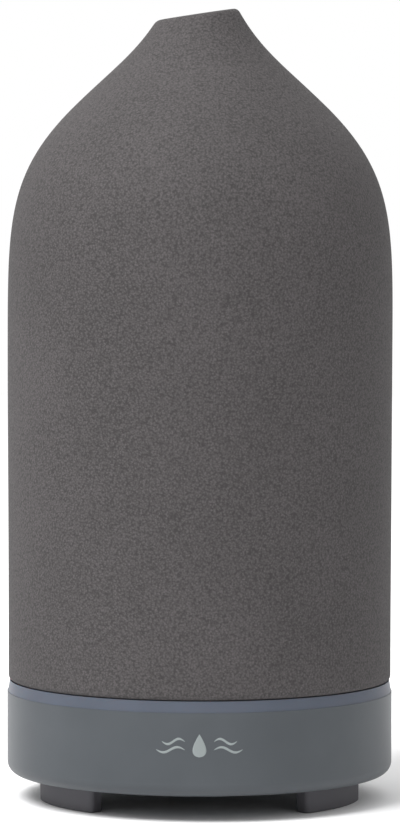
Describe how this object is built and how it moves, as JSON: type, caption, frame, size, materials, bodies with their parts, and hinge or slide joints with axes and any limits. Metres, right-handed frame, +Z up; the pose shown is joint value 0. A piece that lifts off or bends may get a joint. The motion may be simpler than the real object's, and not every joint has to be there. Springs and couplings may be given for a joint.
{
  "type": "essential oil diffuser",
  "caption": "Ultrasonic essential oil diffuser: matte ceramic bottle-shaped cover with a slanted mouth, lifting off a round base with a light ring, reservoir, fan and ultrasonic disc.",
  "frame": {"origin": "centre of the round base on the floor it stands on", "axes": "+Z up along the body's axis, front (printed side) towards -Y, power inlet and buttons towards +Y, the mouth's high side towards +X"},
  "size_m": [0.0902, 0.0902, 0.1847],
  "materials": {
    "cover_ceramic": "matte unglazed stoneware",
    "base_plastic": "soft-touch satin moulding",
    "ring_plastic": "frosted light-guide plastic",
    "tank_plastic": "food-grade polypropylene moulding",
    "foot_rubber": "matte silicone",
    "gasket_rubber": "silicone",
    "black_plastic": "moulded",
    "white_plastic": "moulded",
    "board_laminate": "solder-masked laminate",
    "steel": "zinc-plated",
    "piezo_ceramic": "nickel-faced piezo ceramic",
    "brass": "turned",
    "chip_epoxy": "moulded epoxy",
    "can_aluminium": "drawn can",
    "ferrite": "pressed ferrite",
    "coil_copper": "enamelled wire",
    "lead_red": "insulated wire",
    "lead_black": "insulated wire"
  },
  "bodies": {
    "base": {"base_housing": "base_plastic", "light_ring": "ring_plastic", "bottom_cover": "base_plastic", "foot_rear": "foot_rubber", "foot_left": "foot_rubber", "foot_right": "foot_rubber", "case_screws": "steel", "reservoir": "tank_plastic", "piezo_disc": "piezo_ceramic", "piezo_gasket": "gasket_rubber", "piezo_plate": "steel", "piezo_screws": "steel", "fan_frame": "black_plastic", "fan_bush": "brass", "fan_stator": "coil_copper", "fan_screws": "steel", "air_duct": "black_plastic", "main_board": "board_laminate", "board_screws": "steel", "control_chip": "chip_epoxy", "driver_coil": "ferrite", "capacitors": "can_aluminium", "power_transistor": "chip_epoxy", "board_connectors": "white_plastic", "dc_jack": "black_plastic", "dc_pin": "brass", "mist_switch": "black_plastic", "light_switch": "black_plastic", "led_board": "board_laminate", "leds": "white_plastic", "fan_leads": "lead_red", "piezo_leads": "lead_black", "led_leads": "lead_red"},
    "cover": {"ceramic_cover": "cover_ceramic"},
    "lid": {"inner_lid": "tank_plastic"},
    "mist_key": {"mist_button": "base_plastic", "mist_plunger": "white_plastic"},
    "light_key": {"light_button": "base_plastic", "light_plunger": "white_plastic"},
    "rotor": {"fan_rotor": "black_plastic", "fan_axle": "steel", "rotor_magnet": "ferrite"}
  },
  "joints": [
    {"name": "cover_lift", "type": "slide", "parent": "base", "child": "cover", "axis": [0, 0, 1], "range_m": [0, 0.12]},
    {"name": "lid_lift", "type": "slide", "parent": "base", "child": "lid", "axis": [0, 0, 1], "range_m": [0, 0.03]},
    {"name": "mist_press", "type": "slide", "parent": "base", "child": "mist_key", "axis": [0.4067, -0.9135, 0], "range_m": [0, 0.0004], "stiffness_N_per_m": 2500},
    {"name": "light_press", "type": "slide", "parent": "base", "child": "light_key", "axis": [-0.4067, -0.9135, 0], "range_m": [0, 0.0004], "stiffness_N_per_m": 2500},
    {"name": "fan_spin", "type": "hinge", "parent": "base", "child": "rotor", "pos_m": [-0.01472, -0.0085, 0.0093], "axis": [0, 0, 1], "continuous": true}
  ]
}
